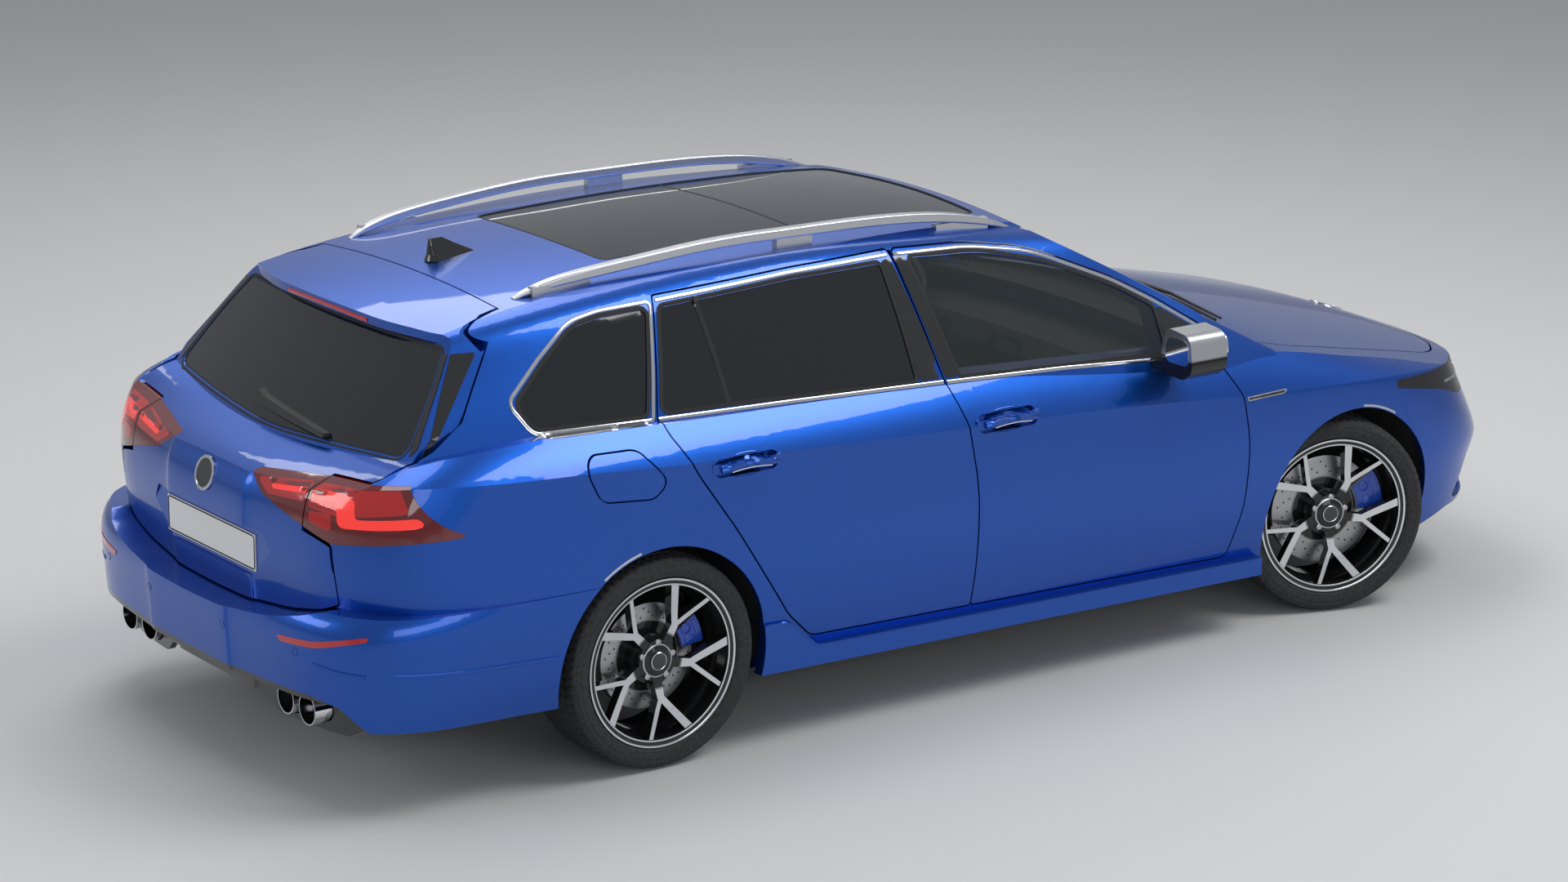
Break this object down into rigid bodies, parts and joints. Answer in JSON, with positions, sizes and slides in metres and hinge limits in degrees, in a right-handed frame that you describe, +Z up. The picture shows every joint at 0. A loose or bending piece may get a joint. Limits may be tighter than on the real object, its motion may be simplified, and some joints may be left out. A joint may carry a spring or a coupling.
{
  "type": "station wagon",
  "caption": "Station wagon with roof rails, hinged doors, bonnet, tailgate and filler flap, steered front wheels and rolling wheels.",
  "frame": {"origin": "on the ground under the middle of the car's box", "axes": "+X forward, +Y to the car's left, +Z up"},
  "size_m": [4.6587, 2.0654, 1.4641],
  "materials": {
    "body_paint": "metallic blue, clear coated",
    "satin_silver": "satin silver",
    "gloss_black": "gloss black",
    "matt_black": "grained black",
    "underbody": "dark coated steel",
    "liner_felt": "felted black",
    "dark_glass": "dark privacy tint",
    "clear_glass": "light green tint",
    "lamp_red": "dark red lens",
    "lamp_clear": "clear lens",
    "rim_finish": "machined silver and gloss black",
    "tyre": "black rubber",
    "cast_steel": "as cast, blue painted calipers",
    "engine": "cast",
    "steel": "bright tail pipes",
    "cabin_plastic": "soft black",
    "seat_cloth": "black cloth",
    "wheel_leather": "black leather",
    "plate_white": "white, blank"
  },
  "bodies": {
    "body": {"side_frame_left": "body_paint", "side_frame_right": "body_paint", "fenders": "body_paint", "cowl_panel": "matt_black", "roof_panel": "body_paint", "dark_glass": "dark_glass", "windscreen": "clear_glass", "tail_lamps": "lamp_red", "rear_bumper": "body_paint", "front_bumper": "body_paint", "headlamps": "lamp_clear", "front_grille": "gloss_black", "floor_pan": "underbody", "arch_liners": "liner_felt", "front_subframe": "underbody", "rear_axle": "underbody", "exhaust": "steel", "engine_block": "engine", "side_skirts": "body_paint", "rear_diffuser": "gloss_black", "dashboard": "cabin_plastic", "seats": "seat_cloth", "roof_rails": "satin_silver", "roof_antenna": "gloss_black"},
    "front_door_left": {"door_front_left": "body_paint", "glass_front_left": "clear_glass", "mirror_left": "satin_silver"},
    "front_door_right": {"door_front_right": "body_paint", "glass_front_right": "clear_glass", "mirror_right": "satin_silver"},
    "rear_door_left": {"door_rear_left": "body_paint", "glass_rear_left": "dark_glass"},
    "rear_door_right": {"door_rear_right": "body_paint", "glass_rear_right": "dark_glass"},
    "gate": {"tailgate": "body_paint", "tailgate_glass": "dark_glass", "gate_lamps": "lamp_red", "number_plate": "plate_white", "rear_wiper": "matt_black"},
    "bonnet_lid": {"bonnet": "body_paint"},
    "filler_flap": {"fuel_flap": "body_paint"},
    "wheel_of_steering": {"steering_wheel": "wheel_leather"},
    "upright_left": {"knuckle_left": "cast_steel"},
    "upright_right": {"knuckle_right": "cast_steel"},
    "front_wheel_left": {"rim_front_left": "rim_finish", "tyre_front_left": "tyre"},
    "front_wheel_right": {"rim_front_right": "rim_finish", "tyre_front_right": "tyre"},
    "rear_wheel_left": {"rim_rear_left": "rim_finish", "tyre_rear_left": "tyre"},
    "rear_wheel_right": {"rim_rear_right": "rim_finish", "tyre_rear_right": "tyre"}
  },
  "joints": [
    {"name": "front_door_left_hinge", "type": "hinge", "parent": "body", "child": "front_door_left", "pos_m": [0.993, 0.896, 0.65], "axis": [0, 0, -1], "range_deg": [0, 65]},
    {"name": "front_door_right_hinge", "type": "hinge", "parent": "body", "child": "front_door_right", "pos_m": [0.993, -0.896, 0.65], "axis": [0, 0, 1], "range_deg": [0, 65]},
    {"name": "rear_door_left_hinge", "type": "hinge", "parent": "body", "child": "rear_door_left", "pos_m": [-0.091, 0.896, 0.65], "axis": [0, 0, -1], "range_deg": [0, 70]},
    {"name": "rear_door_right_hinge", "type": "hinge", "parent": "body", "child": "rear_door_right", "pos_m": [-0.091, -0.896, 0.65], "axis": [0, 0, 1], "range_deg": [0, 70]},
    {"name": "tailgate_hinge", "type": "hinge", "parent": "body", "child": "gate", "pos_m": [-1.546, 0, 1.378], "axis": [0, 1, 0], "range_deg": [0, 80]},
    {"name": "bonnet_hinge", "type": "hinge", "parent": "body", "child": "bonnet_lid", "pos_m": [1.06, 0, 0.945], "axis": [0, -1, 0], "range_deg": [0, 55]},
    {"name": "filler_flap_hinge", "type": "hinge", "parent": "body", "child": "filler_flap", "pos_m": [-1.2135, -0.8965, 0.91], "axis": [0, 0, 1], "range_deg": [0, 90]},
    {"name": "steering_left", "type": "hinge", "parent": "body", "child": "upright_left", "pos_m": [1.437, 0.7, 0.323], "axis": [0, 0, 1], "range_deg": [-17, 51]},
    {"name": "steering_right", "type": "hinge", "parent": "body", "child": "upright_right", "pos_m": [1.437, -0.7, 0.323], "axis": [0, 0, 1], "range_deg": [-17, 51]},
    {"name": "steering_wheel_turn", "type": "hinge", "parent": "body", "child": "wheel_of_steering", "pos_m": [0.505, 0.37, 0.9], "axis": [-0.9135, 0, 0.4067], "range_deg": [-238, 714]},
    {"name": "spin_front_left", "type": "hinge", "parent": "upright_left", "child": "front_wheel_left", "pos_m": [1.45513, 0.75929, 0.323], "axis": [0.2924, 0.9563, 0], "continuous": true},
    {"name": "spin_front_right", "type": "hinge", "parent": "upright_right", "child": "front_wheel_right", "pos_m": [1.41887, -0.75929, 0.323], "axis": [0.2924, 0.9563, 0], "continuous": true},
    {"name": "spin_rear_left", "type": "hinge", "parent": "body", "child": "rear_wheel_left", "pos_m": [-1.232, 0.762, 0.323], "axis": [0, 1, 0], "continuous": true},
    {"name": "spin_rear_right", "type": "hinge", "parent": "body", "child": "rear_wheel_right", "pos_m": [-1.232, -0.762, 0.323], "axis": [0, 1, 0], "continuous": true}
  ],
  "couplings": [
    {"joint": "steering_right", "follows": "steering_left", "ratio": 1},
    {"joint": "steering_wheel_turn", "follows": "steering_left", "ratio": 14}
  ]
}
